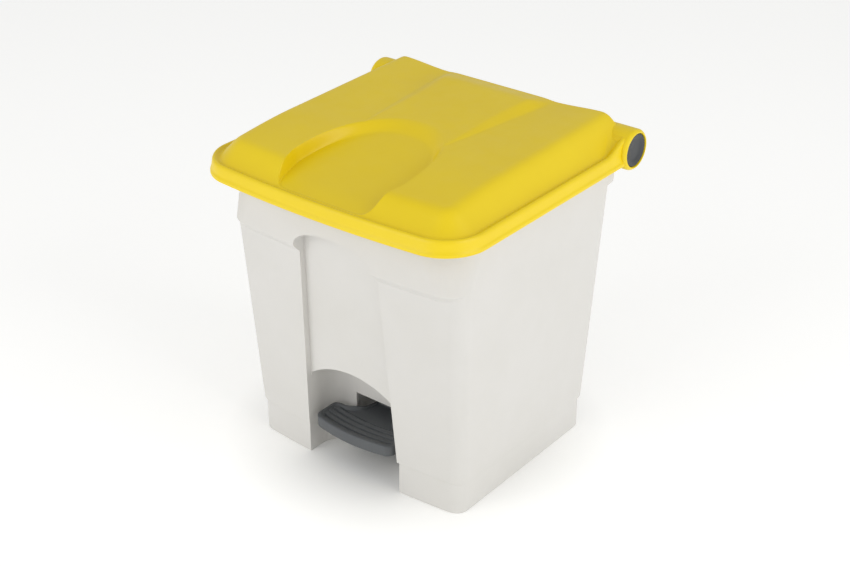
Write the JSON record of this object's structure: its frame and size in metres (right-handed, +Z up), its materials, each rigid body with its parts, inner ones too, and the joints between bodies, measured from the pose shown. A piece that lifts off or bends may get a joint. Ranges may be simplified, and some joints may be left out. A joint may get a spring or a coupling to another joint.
{
  "type": "pedal bin",
  "caption": "Rectangular moulded pedal bin with a hinged lid, a foot pedal in a front foot well and a push rod at the back that lifts the lid.",
  "frame": {"origin": "on the floor under the middle of the bin's bounding box", "axes": "+Z up; +X to the right seen from the pedal side; the pedal side faces -Y and the lid's hinge is at +Y"},
  "size_m": [0.41, 0.3998, 0.446],
  "materials": {
    "body_plastic": "satin moulded",
    "lid_plastic": "satin moulded",
    "pedal_plastic": "fine spark-eroded grain",
    "cap_plastic": "satin moulded",
    "fitting_plastic": "satin moulded",
    "zinc_steel": "zinc plated",
    "spring_steel": "blued"
  },
  "bodies": {
    "bin": {"body_shell": "body_plastic", "hinge_rod": "zinc_steel", "hinge_bush_left": "fitting_plastic", "hinge_bush_right": "fitting_plastic", "rod_guide_lower": "fitting_plastic", "rod_guide_upper": "fitting_plastic", "pedal_bearing_left": "fitting_plastic", "pedal_bearing_right": "fitting_plastic", "bearing_screw_left_front": "zinc_steel", "bearing_screw_left_rear": "zinc_steel", "bearing_screw_right_front": "zinc_steel", "bearing_screw_right_rear": "zinc_steel"},
    "lid": {"lid_shell": "lid_plastic", "hinge_cap_left": "cap_plastic", "hinge_cap_right": "cap_plastic"},
    "pedal_lever": {"pedal": "pedal_plastic", "pedal_axle": "zinc_steel", "axle_clip_left": "spring_steel", "axle_clip_right": "spring_steel"},
    "lift_rod": {"push_rod": "zinc_steel", "rod_clip_lower": "spring_steel", "rod_clip_upper": "spring_steel"}
  },
  "joints": [
    {"name": "lid_hinge", "type": "hinge", "parent": "bin", "child": "lid", "pos_m": [0, 0.1734, 0.4017], "axis": [-1, 0, 0], "range_deg": [0, 80]},
    {"name": "pedal_pivot", "type": "hinge", "parent": "bin", "child": "pedal_lever", "pos_m": [0, -0.01, 0.062], "axis": [1, 0, 0], "range_deg": [0, 16.8]},
    {"name": "rod_lift", "type": "slide", "parent": "bin", "child": "lift_rod", "axis": [0, 0, 1], "range_m": [0, 0.0456]}
  ],
  "couplings": [
    {"joint": "pedal_pivot", "follows": "lid_hinge", "ratio": 0.20825},
    {"joint": "rod_lift", "follows": "lid_hinge", "m_per_rad": 0.032515}
  ]
}
